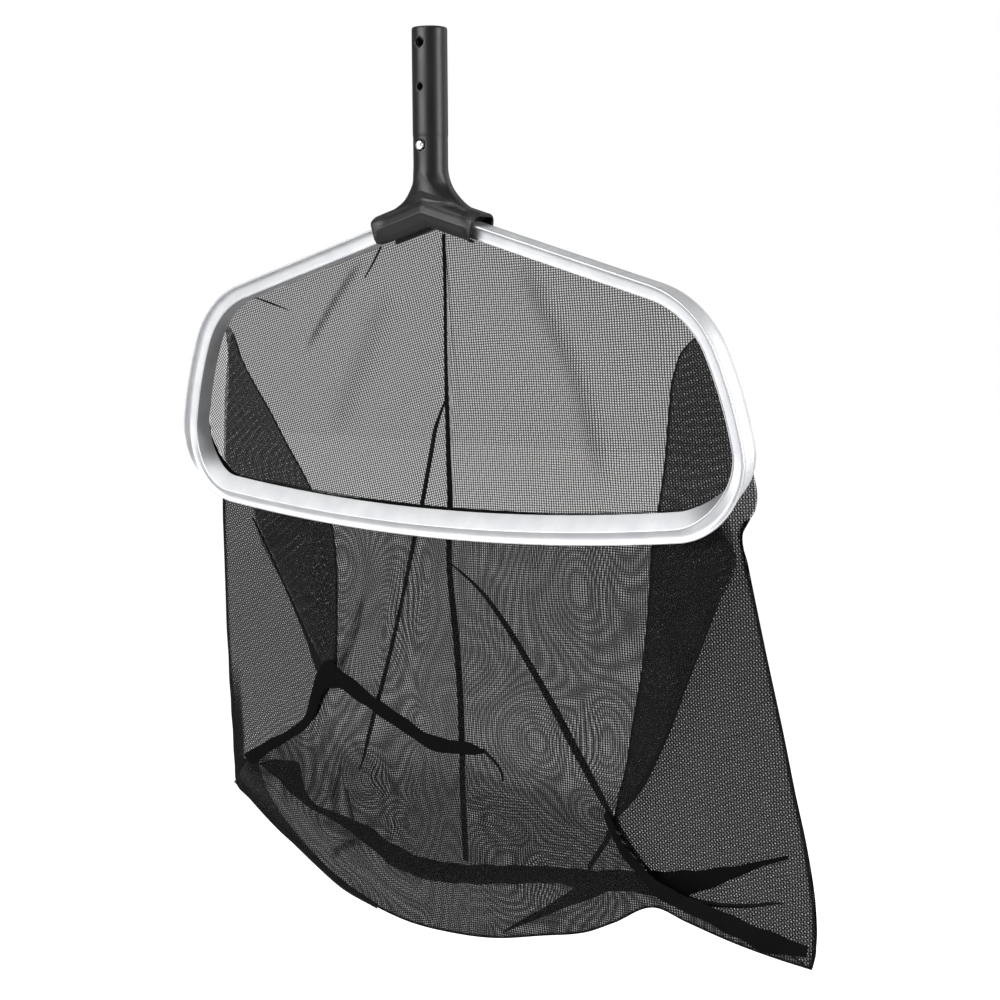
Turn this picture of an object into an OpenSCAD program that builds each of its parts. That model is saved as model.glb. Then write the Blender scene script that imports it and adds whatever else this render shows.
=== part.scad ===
// Deep-bag pool leaf rake: moulded yoke with a hollow shank, bent aluminium hoop,
// sewn mesh bag on a bead in the hoop's rear channel, and a spring clip for the pole.
// +Z runs up the shank, the mouth of the bag faces -Y, +X is to the right.
// The origin is the middle of the stretch of shank that the pole slides over.

/* [Shank] */
// Outside diameter of the shank, a slide fit in the pole
shank_d = 28.3; // [26:0.1:32]
// Length of shank that the pole slides over, above the button
pole_fit_length = 84; // [60:1:120]
// Wall of the shank
shank_wall = 3; // [2:0.25:4]
// Radius of the shank's upper outer edge
end_edge_r = 1.6; // [0.5:0.1:2.5]
// Distance from the shank's end to the upper cross hole
upper_hole_drop = 12.6; // [8:0.2:16]
// Diameter of the upper cross hole
upper_hole_d = 7; // [5:0.1:8]
// Distance between the two cross holes
hole_spacing = 34.1; // [25:0.1:40]
// Diameter of the lower cross hole
lower_hole_d = 5.2; // [4:0.1:7]

/* [Spring clip] */
// Distance from the bottom of the pole stretch down to the button's axis
button_drop = 8; // [6:0.5:12]
// Diameter of a button
button_d = 6.8; // [5:0.1:7.5]
// How far a button's dome stands out of the shank
button_proud = 3; // [2:0.1:4]
// Gap round a button in its hole
button_gap = 0.75; // [0.7:0.05:0.95]
// Width of the clip's steel strip
strip_w = 9; // [7:0.5:10]
// Thickness of the clip's steel strip
strip_t = 0.8; // [0.6:0.1:1.2]
// Length of a leg from its bend to the button's axis
leg_length = 32; // [28:1:33]

/* [Yoke] */
// Half of the yoke's span, to the open end of an arm
arm_reach = 53; // [46:1:60]
// Depth of the yoke from front to back
yoke_depth = 30; // [29:0.5:34]
// Wall of the yoke
yoke_wall = 3; // [2:0.25:3.25]
// Height of an arm, square to its slope
arm_height = 24; // [22:0.5:27]
// Distance from the button's axis down to where the neck starts to flare
neck_drop = 16; // [12:0.5:24]
// Radius of the neck's flare from the shank into the arms
neck_radius = 36; // [28:1:44]
// Radius of an arm's upper edges
arm_edge_r = 9; // [5:0.5:10]
// Radius of an arm's lower front edge
arm_foot_r = 5; // [3:0.5:6]

/* [Hoop] */
// Fall of the two top bars from the yoke, in degrees
bar_slope = 16.5; // [12:0.5:20]
// Length of a top bar from the centre line to the shoulder bend
top_bar_length = 214; // [180:1:240]
// Radius of a shoulder bend
shoulder_r = 84; // [60:1:100]
// Turn of a shoulder bend, in degrees
shoulder_turn = 50; // [45:1:55]
// Radius of the bowed side
side_r = 330; // [250:5:500]
// Turn of the bowed side, in degrees
side_turn = 13; // [8:1:16]
// Radius of a lower corner
corner_r = 63; // [50:1:80]
// Radius of the bowed leading bar
leading_bar_r = 1780; // [1200:10:3000]
// Lean of the hoop behind the shank's axis, in degrees
hoop_lean = 3; // [0:0.5:6]
// How far the leading bar's section is rolled to lie flat on the pool floor
leading_roll = 50; // [20:1:60]

/* [Hoop section] */
// Depth of the extrusion from front to back
rail_depth = 21; // [18:0.5:23]
// Width of the extrusion across the hoop
rail_width = 11.9; // [10.5:0.1:13]
// Wall of the extrusion
rail_wall = 1.6; // [1.2:0.1:2]
// How far the front lip stands out of the front face
lip_height = 4.6; // [3:0.1:5.5]
// Width of the sloping flank behind the front lip
lip_flank = 3.4; // [2.5:0.1:4.5]
// Opening of the channel at the back
slot_w = 4.3; // [4.1:0.1:5]

/* [Fasteners] */
// Diameter of a yoke screw
screw_d = 4; // [3.5:0.1:4]
// Distance of the inner screws from the centre line
inner_screw_x = 20; // [17:1:24]
// Distance between the inner and outer screw of an arm
screw_pitch = 18; // [14:1:20]
// How far a screw reaches into the channel
screw_bite = 7; // [5:0.5:9]
// Outside diameter of a washer
washer_d = 9; // [8:0.5:10]
// Thickness of a washer
washer_t = 1; // [0.8:0.1:1.4]

/* [Bag] */
// Depth of the hanging bag below the hoop's apex
bag_drop = 613; // [520:1:680]
// Thickness that stands for a layer of mesh
mesh_t = 1.2; // [0.8:0.1:1.6]
// Diameter of the bead in the channel
bead_d = 6; // [5:0.1:7]
// Thickness of the folded rim binding
binding_t = 1.5; // [1:0.1:2]
// How far the binding stands out of the back of the channel
binding_proud = 6; // [4:0.5:8]
// Width of the centre seam tape
centre_tape_w = 6; // [5:0.5:10]
// Width of the hem tape along the bottom of the back panel
hem_tape_w = 15; // [10:0.5:18]
// Width of the tape on the lower folds
fold_tape_w = 9; // [6:0.5:12]

/* [Hidden] */

// Clearances
slide_gap = 0.3;   // between loose neighbours
fit_gap = 0.1;     // between a screw and its hole
eps = 0.01;

// Heights on the shank's axis
shank_r = shank_d / 2;
land_relief = 0.25;
land_r = shank_r - land_relief;               // the shank is relieved below the pole's stretch
bore_r = shank_r - shank_wall;
shank_top = pole_fit_length / 2;
button_z = -shank_top - button_drop;
upper_hole_z = shank_top - upper_hole_drop;
lower_hole_z = upper_hole_z - hole_spacing;
neck_top = button_z - neck_drop;

// Arms: the top line starts where the flare ends, and its slope is the bars' slope
flare_turn = 90 - bar_slope;
flare_end_x = land_r + neck_radius * (1 - cos(flare_turn));
flare_end_z = neck_top - neck_radius * sin(flare_turn);
flare_sink = 0.2;                             // the flare's end runs this far into the arms
arm_apex = flare_end_z + flare_end_x * tan(bar_slope) + flare_sink;
arm_fall = arm_height / cos(bar_slope);
half_depth = yoke_depth / 2;
cavity_half = half_depth - yoke_wall;
cavity_r = 2;                                 // rounding of the cavity's upper edges
rear_foot_r = 1.5;                            // rounding of an arm's lower rear edge
floor_open_y = -5;                            // the floor is open behind this line
open_step = 0.5;                              // the middle's opening keeps this far inside the arms'

// Hoop: its front lip runs in a plane that leans back by hoop_lean
foot_t = 2;                                   // floor of an arm under the hoop
lip_line = arm_height - foot_t - slide_gap - rail_width;  // depth of the lip under an arm's top
hoop_apex = arm_apex - lip_line / cos(bar_slope);
lip_y = -cavity_half + 0.5;
slot_n = -rail_width / 2;                     // middle of the channel's opening
frame_end = 12;                               // the bars' cut ends, from the centre line
bag_top_x = arm_reach + 2.5;                  // bead and binding end just outside the arms

// Clip
leg_bore_gap = 0.6;                           // between a leg's long edges and the bore
leg_y = bore_r - strip_w * strip_w / 8 / bore_r - leg_bore_gap - strip_t / 2;
pivot_z = button_z - leg_length;
bead_pivot_r = 0.55;                          // rolled lower end of a leg
bore_floor = pivot_z - leg_y - strip_t / 2 - slide_gap;

// ---------- Hoop path ----------
// Stations of the right half as [x, z, heading, roll]; heading falls from -bar_slope to -180.
function arc_pts(p, h, r, turn, n) = [for (i = [1:n]) let (a = h - turn * i / n)
    [p[0] + r * (sin(h) - sin(a)), p[1] - r * (cos(h) - cos(a)), a]];
function last(v) = v[len(v) - 1];
function flipped(v) = [for (i = [len(v) - 1:-1:0]) v[i]];

top_h = -bar_slope;
bar_start = [frame_end, -frame_end * tan(bar_slope), top_h];
bar_end = [top_bar_length * cos(top_h), top_bar_length * sin(top_h), top_h];
shoulder = arc_pts(bar_end, top_h, shoulder_r, shoulder_turn, 10);
side_h = top_h - shoulder_turn;
side = arc_pts(last(shoulder), side_h, side_r, side_turn, 4);
corner_h = side_h - side_turn;
corner_cx = last(side)[0] + corner_r * sin(corner_h);
lead_turn = asin(corner_cx / (leading_bar_r - corner_r));
corner_turn = 180 + corner_h - lead_turn;
corner = arc_pts(last(side), corner_h, corner_r, corner_turn, 18);
lead = arc_pts(last(corner), corner_h - corner_turn, leading_bar_r, lead_turn, 8);

// The roll eases in round the lower corner
function ease(t) = let (u = max(0, min(1, t))) u * u * (3 - 2 * u);
function roll_at(h) = leading_roll * ease((corner_h - h) / corner_turn);
function half_path(x0) = let (s = [x0, -x0 * tan(bar_slope), top_h])
    concat([s, bar_end], shoulder, side, corner, lead);

// A point of the section, n outwards and d backwards from the front lip, at a station
function section_point(s, n, d, side_sign) = let (r = roll_at(s[2]),
    out = n * cos(r) - d * sin(r), back = n * sin(r) + d * cos(r))
    [side_sign * (s[0] - out * sin(s[2])), back, s[1] + out * cos(s[2])];
function ring(s, outline, side_sign) = [for (q = outline) section_point(s, q[0], q[1], side_sign)];
function loop_rings(path, outline) = let (n = len(path))
    concat([for (i = [0:n - 1]) ring(path[i], outline, 1)],
           [for (i = [n - 2:-1:0]) ring(path[i], outline, -1)]);

// Skins a list of rings into one closed tube with flat ends. From the side `back` on, the faces
// split along the other diagonal, so that both sides of a folded sheet bend alike
module skin(rings, back = 1000) {
    n = len(rings);
    m = len(rings[0]);
    pts = [for (r = rings) for (p = r) p];
    walls = [for (i = [0:n - 2]) for (j = [0:m - 1])
        let (k = (j + 1) % m, a = i * m + j, b = i * m + k, c = (i + 1) * m + k, d = (i + 1) * m + j)
        each j < back ? [[a, b, c], [a, c, d]] : [[a, b, d], [b, c, d]]];
    polyhedron(pts, concat(walls, [[for (j = [m - 1:-1:0]) j]], [[for (j = [0:m - 1]) (n - 1) * m + j]]));
}

// Places what is drawn in the hoop's own plane
module in_hoop() {
    translate([0, lip_y, hoop_apex]) rotate([hoop_lean, 0, 0]) children();
}

// ---------- Hoop ----------
slot_half = slot_w / 2;
face_y = lip_height + 1.2;                    // front face at the inner edge
rail_outline = [
    [-0.6, 0], [0, 0.6], [0, rail_depth], [slot_n + slot_half, rail_depth],
    [slot_n + slot_half, rail_depth - rail_wall], [-rail_wall, rail_depth - rail_wall],
    [-rail_wall, lip_height + rail_wall], [rail_wall - rail_width, face_y + rail_wall],
    [rail_wall - rail_width, rail_depth - rail_wall], [slot_n - slot_half, rail_depth - rail_wall],
    [slot_n - slot_half, rail_depth], [-rail_width, rail_depth], [-rail_width, face_y - 0.4],
    [0.6 - rail_width, face_y - 1], [1.4 - rail_width, face_y - 0.1],
    [-lip_flank, lip_height], [-1.3, 0.2]];

module hoop_frame() {
    color("silver") in_hoop() skin(loop_rings(half_path(frame_end), rail_outline));
}

bead_depth = rail_depth - rail_wall - 0.5 - bead_d / 2;
bead_outline = [for (i = [0:7]) [slot_n + bead_d / 2 * cos(45 * i), bead_depth + bead_d / 2 * sin(45 * i)]];
module rim_bead() {
    color("dimgray") in_hoop() skin(loop_rings(half_path(bag_top_x), bead_outline));
}

binding_front = rail_depth - rail_wall - 0.2;
binding_back = rail_depth + binding_proud;
binding_outline = [[slot_n - binding_t / 2, binding_front], [slot_n + binding_t / 2, binding_front],
                   [slot_n + binding_t / 2, binding_back], [slot_n - binding_t / 2, binding_back]];
module rim_binding() {
    color("black") in_hoop() skin(loop_rings(half_path(bag_top_x), binding_outline));
}

// ---------- Yoke ----------
module arm_frame(s) {
    // x runs out along the arm from the centre line, z is square to it, 0 at the arm's top
    mirror([s < 0 ? 1 : 0, 0, 0]) translate([0, 0, arm_apex]) rotate([0, bar_slope, 0]) children();
}

arm_len = arm_reach / cos(bar_slope);

module along_arm(x0, x1) {
    // an outline in (depth, height) extruded along the arm
    translate([x0, 0, 0]) rotate([90, 0, 90]) linear_extrude(x1 - x0) children();
}

module arm_outline() {
    for (s = [-1, 1]) translate([s * (half_depth - arm_edge_r), -arm_edge_r]) circle(arm_edge_r, $fn = 48);
    translate([arm_foot_r - half_depth, arm_foot_r - arm_height]) circle(arm_foot_r, $fn = 48);
    translate([half_depth - rear_foot_r, rear_foot_r - arm_height]) circle(rear_foot_r, $fn = 32);
    translate([arm_edge_r - half_depth, -arm_height + arm_foot_r])
        square([yoke_depth - 2 * arm_edge_r, arm_height - arm_foot_r]);
    translate([-half_depth, arm_foot_r - arm_height])
        square([yoke_depth, arm_height - arm_foot_r - arm_edge_r]);
    translate([arm_foot_r - half_depth, -arm_height])
        square([yoke_depth - arm_foot_r - rear_foot_r, arm_height - arm_edge_r]);
}

module cavity_outline() {
    translate([-cavity_half, foot_t - arm_height])
        square([2 * cavity_half, arm_height - foot_t - yoke_wall - cavity_r]);
    translate([cavity_r - cavity_half, -yoke_wall - 2 * cavity_r])
        square([2 * (cavity_half - cavity_r), 2 * cavity_r]);
    for (s = [-1, 1]) translate([s * (cavity_half - cavity_r), -yoke_wall - cavity_r])
        circle(cavity_r, $fn = 32);
    // the floor ends behind the hoop's front half, so that the bag hangs free
    translate([floor_open_y, -arm_height - 1]) square([cavity_half - floor_open_y, arm_height / 2]);
}

// The shank flares into the arms as a trumpet, which two wide cylinders thin to the arms' flat top
neck_r = shank_r + 0.05;
lens_sag = neck_r - (half_depth - arm_edge_r);
lens_r = (flare_end_x * flare_end_x + lens_sag * lens_sag) / 2 / lens_sag;
neck_foot = flare_end_z - arm_height / 2;
module shaft() {
    intersection() {
        rotate_extrude($fn = 96) shank_profile();
        lens(-1);
        lens(1);
    }
}

module lens(s) {
    translate([0, s * (lens_r - neck_r), neck_foot - 1])
        cylinder(h = shank_top - neck_foot + 2, r = lens_r, $fn = 360);
}

module shank_profile() {
    difference() {
        translate([0, neck_foot]) square([flare_end_x, shank_top - neck_foot]);
        translate([land_r + neck_radius, neck_top]) circle(neck_radius, $fn = 180);
        translate([land_r, neck_top]) square([neck_radius, -shank_top - neck_top]);
        translate([shank_r, -shank_top - 1]) square([neck_radius, 2 * shank_top + 2]);
        translate([shank_r - end_edge_r, shank_top - end_edge_r]) difference() {
            square(end_edge_r + 1);
            circle(end_edge_r, $fn = 48);
        }
    }
}

rib_t = 2;
rib_xs = [16, 30, 44];
function lean_rise(d) = d * sin(hoop_lean) * cos(bar_slope);   // of the hoop at a depth d, on an arm
module arm_ribs() {
    // ribs that bear on the hoop's outer wall, at its rear edge
    rib_z = slide_gap + lean_rise(rail_depth) - lip_line;
    for (x = rib_xs) translate([x, -cavity_half - 1, rib_z])
        cube([rib_t, 2 * cavity_half + 2, -yoke_wall / 2 - rib_z]);
}

module cross_hole(z, d) {
    translate([0, 0, z]) rotate([90, 0, 0]) cylinder(h = 2 * shank_d, d = d, center = true, $fn = 48);
}

screw_xs = [inner_screw_x, inner_screw_x + screw_pitch];
screw_line = lip_line - slot_n - lean_rise(rail_depth - rail_wall / 2);  // depth of the slot on an arm

module at_screws() {
    for (s = [-1, 1]) for (x = screw_xs) arm_frame(s) translate([x, 0, -screw_line]) children();
}

module yoke() {
    color([0.07, 0.07, 0.075]) difference() {
        union() {
            difference() {
                union() {
                    shaft();
                    for (s = [-1, 1]) arm_frame(s) along_arm(0, arm_len) arm_outline();
                }
                for (s = [-1, 1]) arm_frame(s) along_arm(frame_end - 1.5, arm_len + 1) cavity_outline();
                centre_cavity();
            }
            for (s = [-1, 1]) arm_frame(s) arm_ribs();
        }
        translate([0, 0, bore_floor]) cylinder(h = shank_top - bore_floor + 1, r = bore_r, $fn = 96);
        cross_hole(upper_hole_z, upper_hole_d);
        cross_hole(lower_hole_z, lower_hole_d);
        cross_hole(button_z, button_d + 2 * button_gap);
        at_screws() translate([0, half_depth / 2, 0]) rotate([-90, 0, 0])
            cylinder(h = half_depth, d = screw_d + 2 * fit_gap, $fn = 32);
    }
}

module centre_cavity() {
    // the bag's top edge is free across the middle as well
    translate([-frame_end, floor_open_y + open_step, arm_apex - arm_fall - 1])
        cube([2 * frame_end, cavity_half - floor_open_y - 2 * open_step, foot_t + 2]);
}

// ---------- Screws, washers and the hem strip behind the yoke ----------
strip_behind_t = 1.2;
strip_y = half_depth + slide_gap;
strip_lift = 0.6;                             // its lower edge over the arm's
strip_lap = 3;                                // its two halves run past the centre line
strip_h = 16;                                 // its height on an arm
washer_y = strip_y + strip_behind_t + 0.05;
head_y = washer_y + washer_t + 0.05;
head_d = 7.6;
head_h = 2.6;
head_rim_h = 1.6;                             // the head's full-width part
head_top_d = head_d - 2;
recess_l = 4.4;                               // cross recess: length, width and depth
recess_w = 0.9;
recess_t = 1.6;

module yoke_hem_strip() {
    color("black") difference() {
        for (s = [-1, 1]) arm_frame(s) translate([-strip_lap, strip_y, strip_lift - arm_height])
            cube([arm_len - 1, strip_behind_t, strip_h]);
        at_screws() translate([0, strip_y - 1, 0]) rotate([-90, 0, 0])
            cylinder(h = strip_behind_t + 2, d = screw_d + 2 * fit_gap, $fn = 32);
    }
}

module screw_washers() {
    color("silver") at_screws() translate([0, washer_y, 0]) rotate([-90, 0, 0]) difference() {
        cylinder(h = washer_t, d = washer_d, $fn = 48);
        translate([0, 0, -1]) cylinder(h = washer_t + 2, d = screw_d + 2 * fit_gap, $fn = 32);
    }
}

screw_tip_y = lip_y + rail_depth - screw_bite;
module yoke_screws() {
    color("silver") at_screws() rotate([-90, 0, 0]) difference() {
        union() {
            translate([0, 0, screw_tip_y]) cylinder(h = head_y - screw_tip_y + eps, d = screw_d, $fn = 32);
            translate([0, 0, head_y]) cylinder(h = head_rim_h, d = head_d, $fn = 48);
            translate([0, 0, head_y]) cylinder(h = head_h, d = head_top_d, $fn = 48);
        }
        for (a = [0, 90]) rotate([0, 0, a])
            translate([-recess_l / 2, -recess_w / 2, head_y + head_h - recess_t])
                cube([recess_l, recess_w, recess_t + 1]);
    }
}

// ---------- Spring clip ----------
module clip_strip_arc() {
    rotate([0, 0, 180]) intersection() {
        difference() {
            circle(leg_y + strip_t / 2, $fn = 96);
            circle(leg_y - strip_t / 2, $fn = 96);
        }
        translate([-50, fit_gap + bead_pivot_r - eps]) square([100, 50]);
    }
}

module clip_bend() {
    // the U at the bottom of the clip, seated on the bore's floor
    color("lightsteelblue") translate([-strip_w / 2, 0, pivot_z]) rotate([90, 0, 90])
        linear_extrude(strip_w) clip_strip_arc();
}

button_r = button_d / 2;
leg_top = button_z + button_r + 4;
module clip_leg(s) {
    mirror([0, s > 0 ? 1 : 0, 0]) color("lightsteelblue") difference() {
        union() {
            translate([-strip_w / 2, -leg_y - strip_t / 2, pivot_z])
                cube([strip_w, strip_t, leg_top - pivot_z]);
            translate([-strip_w / 2, -leg_y, pivot_z]) rotate([0, 90, 0])
                cylinder(h = strip_w, r = bead_pivot_r, $fn = 32);
        }
        translate([0, -leg_y, button_z]) rotate([90, 0, 0])
            cylinder(h = 4 * strip_t, d = rivet_d, center = true, $fn = 32);
    }
}

rivet_d = 3;
dome_h = 2;
module clip_button(s) {
    tip = shank_r + button_proud;
    body_h = tip - dome_h - leg_y - strip_t / 2;
    dome_r = (button_r * button_r + dome_h * dome_h) / 2 / dome_h;
    mirror([0, s > 0 ? 1 : 0, 0]) color("gainsboro") translate([0, 0, button_z]) rotate([90, 0, 0]) {
        translate([0, 0, leg_y + strip_t / 2]) cylinder(h = body_h, r = button_r, $fn = 64);
        translate([0, 0, leg_y - strip_t / 2]) cylinder(h = strip_t + eps, d = rivet_d, $fn = 32);
        translate([0, 0, leg_y - strip_t / 2 - 0.8]) cylinder(h = 0.8, d = rivet_d + 1.6, $fn = 32);
        intersection() {
            translate([0, 0, tip - dome_r]) sphere(dome_r, $fn = 96);
            translate([0, 0, tip - dome_h - eps]) cylinder(h = dome_h + 1, r = button_r, $fn = 64);
        }
    }
}

module clip_front_leg() { clip_leg(-1); }
module clip_rear_leg() { clip_leg(1); }
module clip_front_button() { clip_button(-1); }
module clip_rear_button() { clip_button(1); }

// ---------- Bag ----------
// The bag is one tube of mesh with a pleat folded in at each side. Its tables hold
// [.., fall] points, in mm below the hoop's apex, for a bag of the nominal size below;
// bag_x and bag_z carry them to the size asked for.
nominal_width = 280.3;
nominal_lead = 242;
nominal_drop = 613;
width_k = last(side)[0] / nominal_width;
lead_pt = section_point(last(lead), slot_n, binding_back, 1);
lead_fall = -lead_pt[1] * sin(hoop_lean) - lead_pt[2] * cos(hoop_lean);
function bag_x(x) = x * width_k;
function bag_z(v) = v < nominal_lead ? hoop_apex - v * lead_fall / nominal_lead
    : hoop_apex - lead_fall - (v - nominal_lead) * (bag_drop - lead_fall) / (nominal_drop - nominal_lead);

seam_gap = 0.35;                              // between sewn layers
binding_rear = lip_y + binding_back * cos(hoop_lean);

// Depth of a panel's front face as [fall, depth]
back_depth = [[0, binding_rear + seam_gap], [100, binding_rear + seam_gap + 100 * sin(hoop_lean)],
    [180, 28], [240, 30.5], [350, 32], [440, 33], [540, 35], [620, 33]];
front_depth = [[238, 14.9], [252, 15.7], [290, 15.6], [400, 14], [480, 11], [540, 10], [580, 16],
    [613, 33 - seam_gap - mesh_t]];

module sheet(depths, thickness, shift) {
    // a side profile, drawn out sideways; shift moves its front face
    n = len(depths);
    outline = concat([for (p = depths) [p[1] + shift, bag_z(p[0])]],
        [for (i = [n - 1:-1:0]) [depths[i][1] + shift + thickness, bag_z(depths[i][0])]]);
    translate([-500, 0, 0]) rotate([90, 0, 90]) linear_extrude(1000) polygon(outline);
}

module cut(outline) {
    translate([0, 200, 0]) rotate([90, 0, 0]) linear_extrude(400) polygon(outline);
}
function placed(table) = [for (p = table) [bag_x(p[0]), bag_z(p[1])]];

// The back panel's upper edge follows the back of the binding down both shoulders
yoke_end = [bag_top_x + 1, -(bag_top_x + 1) * tan(bar_slope), top_h];
under_strip = lip_line - arm_height + strip_lift - slide_gap;
function hem_point(s, n, side_sign) = let (q = section_point(s, n, binding_back, side_sign))
    [q[0], hoop_apex + q[1] * sin(hoop_lean) + q[2] * cos(hoop_lean)];
function hem_pts(side_sign) = concat(
    [for (s = [bar_start, yoke_end]) hem_point(s, under_strip, side_sign)],
    [for (s = concat([yoke_end, bar_end], shoulder)) hem_point(s, slot_n + 1, side_sign)]);

back_right = [[262, 140], [266, 195], [272, 249], [288, 326], [314, 439], [331, 531], [329, 558],
    [325, 571], [283, 569], [225, 557], [194, 549], [130, 582], [83, 596], [36, 608], [-14, 613]];
back_left = [[-52, 612], [-90, 607], [-142, 592], [-250, 520], [-254, 442], [-257, 385], [-259, 311],
    [-261, 258], [-258, 200], [-254, 140]];
back_outline = concat(hem_pts(1), placed(back_right), placed(back_left), flipped(hem_pts(-1)));
front_outline = placed([[-206, 241], [-212, 266], [-140, 392], [-131, 404], [-162, 452], [-210, 494],
    [-246, 520], [-142, 590], [-90, 605], [-52, 610], [-14, 611], [36, 606], [83, 594], [130, 580],
    [176, 559], [194, 547], [224, 553], [204, 530], [178, 500], [160, 474], [209, 412], [251, 303],
    [216, 262], [206, 241]]);

module bag_back_panel() {
    color("dimgray") intersection() {
        sheet(back_depth, mesh_t, 0);
        cut(back_outline);
    }
}

module bag_front_panel() {
    color("dimgray") intersection() {
        sheet(front_depth, mesh_t, 0);
        cut(front_outline);
    }
}

// A gusset is a pleat: from the back panel's edge in to a fold, and out again to the hoop's
// side or, lower down, to the front panel's edge. Each station is one cut across it.
function in_row(p) = [p[0], lip_y + p[1] * cos(hoop_lean) - p[2] * sin(hoop_lean),
    hoop_apex + p[1] * sin(hoop_lean) + p[2] * cos(hoop_lean)];
seam_in = binding_t / 2 + 2 * seam_gap;       // a gusset's edge lies this far inside the binding
function on_rail(s) = in_row(section_point(s, slot_n - seam_in,
    binding_back + seam_gap + (seam_in + binding_t / 2) * tan(roll_at(s[2])), 1));

// stations on the hoop, as [index into path, fall of the edge and fold, outer x, fold x]
rail_path = concat(shoulder, side, corner);
function pleat_ring(outer, fold, edge, s) = [
    [s * outer[0], outer[1] + mesh_t, outer[2]], [s * (fold[0] - mesh_t), fold[1], fold[2]],
    [s * edge[0], edge[1], edge[2]], [s * edge[0], edge[1] + mesh_t, edge[2]],
    [s * (fold[0] + 1.5 * mesh_t), fold[1], fold[2]], [s * outer[0], outer[1], outer[2]]];
function pleat_at(edge, v, outer_x, fold_x, s) = let (
    rear = lookup(v, back_depth) - seam_gap - mesh_t, z = bag_z(v),
    front = min(edge[1], rear - 2 * mesh_t - 0.6))
    pleat_ring([bag_x(outer_x), rear, z], [bag_x(fold_x), (rear + front + mesh_t) / 2, z],
               [edge[0], front, edge[2]], s);
function rail_rings(table, s) = [for (q = table)
    pleat_at(on_rail(rail_path[q[0]]), q[1], q[2], q[3], s)];
function free_rings(table, s) = [for (q = table)
    pleat_at([bag_x(q[3]), lookup(q[0], front_depth) + mesh_t + seam_gap, bag_z(q[0])],
             q[0], q[1], q[2], s)];

// [station on the hoop, fall, outer x, fold x], then [fall, outer x, fold x, edge x]
left_rail = [[7, 104, 241, 235], [10, 124, 247, 230], [12, 150, 254, 217], [13, 172, 255, 204],
    [17, 200, 256, 186], [21, 222, 258, 170], [23, 232, 258.5, 163], [25, 240, 259, 158]];
left_free = [[275, 259, 136, 208], [330, 258, 123, 174], [392, 256, 121, 137], [412, 255, 123, 140],
    [452, 253, 156, 166], [492, 251, 206, 213], [514, 249.5, 238, 243]];
right_rail = [[6, 97, 240, 232], [8, 112, 246, 225], [10, 124, 251, 218], [12, 150, 258, 211],
    [13, 172, 262, 207], [17, 200, 265, 202], [21, 222, 268, 198], [23, 232, 269.5, 197],
    [25, 240, 271, 196]];
right_free = [[280, 276, 193, 250], [326, 286, 189, 240], [408, 303, 176, 208], [470, 315, 160, 168],
    [505, 325, 180, 188], [532, 329, 204, 212], [545, 330, 240, 248], [557, 328, 290, 297],
    [563, 325, 316, 321]];

module bag_left_gusset() {
    color("dimgray") skin(flipped(concat(rail_rings(left_rail, -1), free_rings(left_free, -1))), 3);
}

module bag_right_gusset() {
    color("dimgray") skin(concat(rail_rings(right_rail, 1), free_rings(right_free, 1)), 3);
}

// A band of constant width along a route of points
function band(route, w) = let (n = len(route), off = [for (i = [0:n - 1])
    let (d = route[min(n - 1, i + 1)] - route[max(0, i - 1)]) [-d[1], d[0]] / norm(d) * w / 2])
    concat([for (i = [0:n - 1]) route[i] + off[i]], [for (i = [n - 1:-1:0]) route[i] - off[i]]);

tape_t = 0.9;
tape_shift = -tape_t - 0.15;                  // tapes lie on the front of their panel
centre_route = [[0, 19.5], [-2, 130], [-5, 250], [-5, 350], [-5, 440], [0, 500], [3, 530]];
hem_route = [[-210, 497], [-190, 505], [-168, 525], [-140, 534], [-101, 544], [-77, 554], [-50, 561],
    [2, 560], [55, 550], [93, 543], [130, 540], [170, 533], [212, 526], [240, 518], [268, 506],
    [290, 495]];
left_corner_route = [[-222, 492], [-191, 470], [-166, 455], [-149, 440], [-139, 421], [-128, 403],
    [-103, 404], [-80, 413], [-59, 423], [-38, 430], [-14, 439], [3, 442], [40, 441]];
right_corner_route = [[161, 474], [168, 488], [176, 501], [185, 514], [196, 527], [208, 534],
    [226, 538], [249, 542], [274, 547], [300, 551], [322, 554]];

module tape(depths, shift, route, w) {
    color("black") intersection() {
        sheet(depths, tape_t, shift);
        cut(band(placed(route), w));
    }
}

module centre_seam_tape() { tape(back_depth, tape_shift, centre_route, centre_tape_w); }
module bottom_hem_tape() { tape(back_depth, tape_shift, hem_route, hem_tape_w); }
module left_corner_tape() { tape(front_depth, tape_shift, left_corner_route, fold_tape_w); }
module right_corner_tape() { tape(front_depth, tape_shift, right_corner_route, fold_tape_w); }

yoke();
hoop_frame();
rim_bead();
rim_binding();
bag_back_panel();
bag_front_panel();
bag_left_gusset();
bag_right_gusset();
centre_seam_tape();
bottom_hem_tape();
left_corner_tape();
right_corner_tape();
yoke_hem_strip();
screw_washers();
yoke_screws();
clip_bend();
clip_front_leg();
clip_rear_leg();
clip_front_button();
clip_rear_button();
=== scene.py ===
# %% [markdown]
# # A leaf rake for a swimming pool
# A leaf rake is an aluminium hoop with a deep net bag, on a plastic yoke whose hollow shank takes
# the pole. Its solids come from CAD and stay in place. This lesson gives each piece the surface
# and the finish of the real one, with numpy arrays and node materials.
# %% Load the frame
import math

import bpy
import numpy as np
from mathutils import Matrix


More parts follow.
